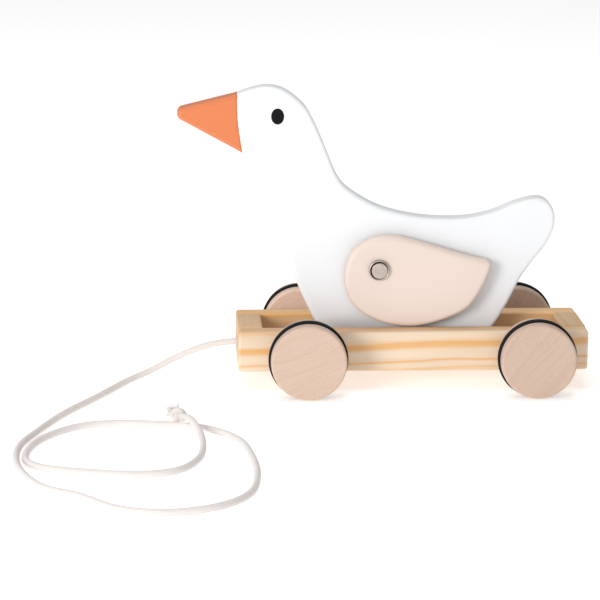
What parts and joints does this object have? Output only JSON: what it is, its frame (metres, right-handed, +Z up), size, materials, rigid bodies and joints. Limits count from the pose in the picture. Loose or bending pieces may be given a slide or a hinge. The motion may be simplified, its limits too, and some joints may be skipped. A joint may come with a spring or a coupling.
{
  "type": "pull along toy",
  "caption": "Pull-along goose: a painted goose board in a pine wheel frame, with two swinging wings, rolling wheelsets with rubber tyres, and a cotton pull cord.",
  "frame": {"origin": "on the ground under the middle of the toy, halfway between beak tip and frame end, cord left out", "axes": "+X along the toy towards the tail, +Y across to the far side, +Z up; the goose looks towards -X"},
  "size_m": [0.3389, 0.3272, 0.1805],
  "materials": {
    "pine": "bare, sanded",
    "beech": "bare, sanded",
    "white_paint": "white satin paint, orange beak and black eyes",
    "peach_paint": "pale peach satin paint",
    "rubber": "matt black",
    "steel": "satin nickel",
    "nylon": "natural",
    "cotton": "braided, undyed white"
  },
  "bodies": {
    "chassis": {"rail_near": "pine", "rail_far": "pine", "front_block": "pine", "rear_block": "pine", "floor_board": "pine", "foot_screw_front": "steel", "foot_screw_rear": "steel", "goose_body": "white_paint", "wing_pin": "steel", "pin_cap_near": "steel", "pin_cap_far": "steel", "wing_washer_near": "nylon", "wing_washer_far": "nylon", "pull_cord": "cotton", "cord_stop_knot": "cotton", "cord_end_knot": "cotton"},
    "front_wheelset": {"front_axle": "beech", "wheel_front_near": "beech", "wheel_front_far": "beech", "tyre_front_near": "rubber", "tyre_front_far": "rubber", "spacer_front_near": "beech", "spacer_front_far": "beech"},
    "rear_wheelset": {"rear_axle": "beech", "wheel_rear_near": "beech", "wheel_rear_far": "beech", "tyre_rear_near": "rubber", "tyre_rear_far": "rubber", "spacer_rear_near": "beech", "spacer_rear_far": "beech"},
    "near_wing": {"wing_near": "peach_paint"},
    "far_wing": {"wing_far": "peach_paint"}
  },
  "joints": [
    {"name": "front_wheels_roll", "type": "hinge", "parent": "chassis", "child": "front_wheelset", "pos_m": [-0.0468, 0, 0.0237], "axis": [0, 1, 0], "continuous": true},
    {"name": "rear_wheels_roll", "type": "hinge", "parent": "chassis", "child": "rear_wheelset", "pos_m": [0.0898, 0, 0.0237], "axis": [0, 1, 0], "continuous": true},
    {"name": "near_wing_swing", "type": "hinge", "parent": "chassis", "child": "near_wing", "pos_m": [-0.003, 0, 0.0714], "axis": [0, -1, 0], "range_deg": [0, 205]},
    {"name": "far_wing_swing", "type": "hinge", "parent": "chassis", "child": "far_wing", "pos_m": [-0.003, 0, 0.0714], "axis": [0, -1, 0], "range_deg": [0, 205]}
  ]
}
